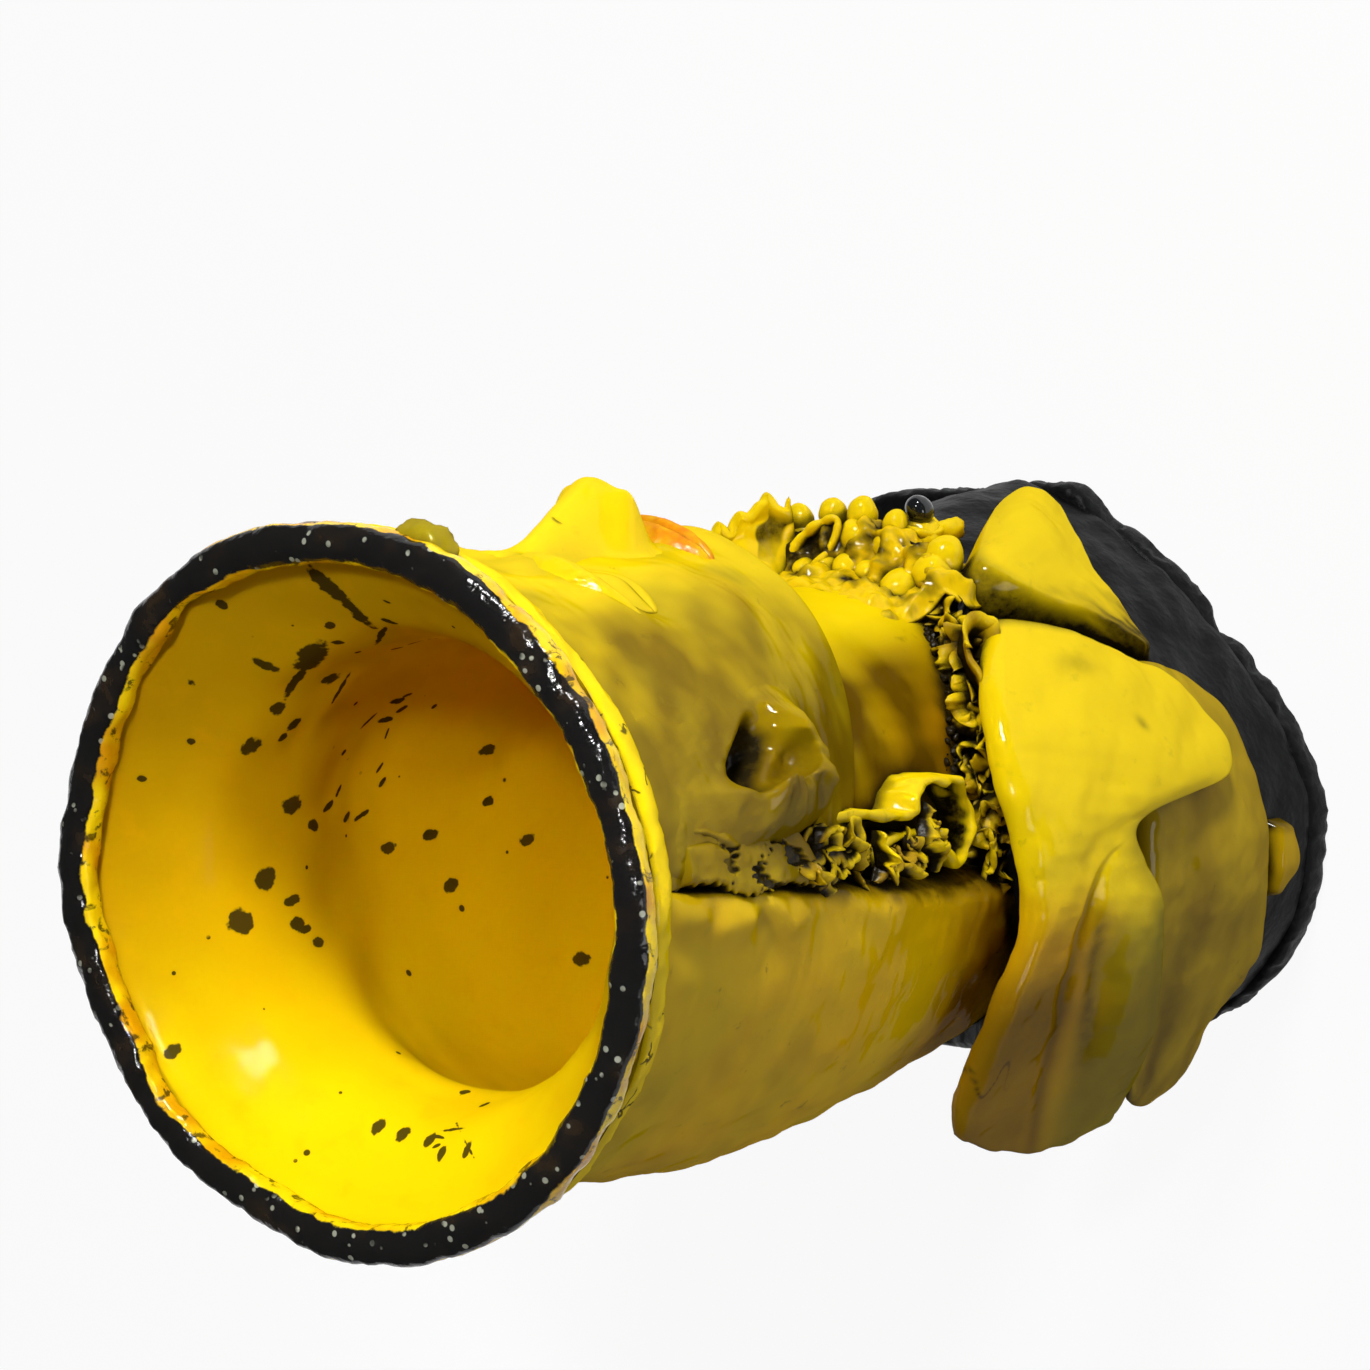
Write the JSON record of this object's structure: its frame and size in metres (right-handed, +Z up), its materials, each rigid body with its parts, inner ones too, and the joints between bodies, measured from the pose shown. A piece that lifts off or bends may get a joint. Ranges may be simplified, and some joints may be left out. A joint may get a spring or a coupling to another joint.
{
  "type": "anthropomorphic vase",
  "caption": "Hand-built ceramic vase shaped as a human head and bust, open through a flared rim on the crown, with folded clay drapes over a dark mantle and base.",
  "frame": {"origin": "middle of the vessel on the underside of the base slab, on the vertical axis of the mouth", "axes": "+Z up along the axis of the mouth, the face looks towards -Y, and +X is the sitter's left"},
  "size_m": [0.206, 0.2037, 0.34],
  "materials": {
    "glaze_yellow": "glossy yellow glaze",
    "glaze_ochre": "glossy ochre to olive glaze with dark patina",
    "glaze_orange": "glossy orange glaze",
    "glaze_black": "satin to glossy black glaze"
  },
  "bodies": {
    "root": {"base_slab": "glaze_black", "vessel_body": "glaze_yellow", "back_hood": "glaze_ochre", "face_mask": "glaze_yellow", "mantle": "glaze_black", "lip_band": "glaze_yellow", "rim_coil": "glaze_black", "rim_pellet": "glaze_ochre", "nose": "glaze_yellow", "upper_lip": "glaze_orange", "lower_lip": "glaze_orange", "right_upper_lid": "glaze_yellow", "right_lower_lid": "glaze_yellow", "right_brow": "glaze_yellow", "right_ear": "glaze_yellow", "right_seam_strip": "glaze_ochre", "right_neck_scroll": "glaze_yellow", "left_upper_lid": "glaze_yellow", "left_lower_lid": "glaze_yellow", "left_brow": "glaze_yellow", "left_ear": "glaze_yellow", "left_seam_strip": "glaze_ochre", "left_neck_scroll": "glaze_yellow", "right_lower_drape": "glaze_ochre", "right_lapel": "glaze_yellow", "right_big_drape": "glaze_yellow", "right_leaf": "glaze_ochre", "left_drape": "glaze_yellow", "ruff_ribbon_1": "glaze_ochre", "ruff_ribbon_2": "glaze_ochre", "ruff_ribbon_3": "glaze_ochre", "ruff_ribbon_4": "glaze_ochre", "ruff_ribbon_5": "glaze_ochre", "leaf_loop": "glaze_yellow", "collar_flap": "glaze_yellow", "collar_peg_1": "glaze_yellow", "collar_peg_2": "glaze_yellow", "collar_peg_3": "glaze_yellow", "collar_peg_4": "glaze_yellow", "collar_peg_5": "glaze_yellow", "collar_peg_6": "glaze_yellow", "bead_bezel": "glaze_yellow", "black_bead": "glaze_black"}
  },
  "joints": []
}
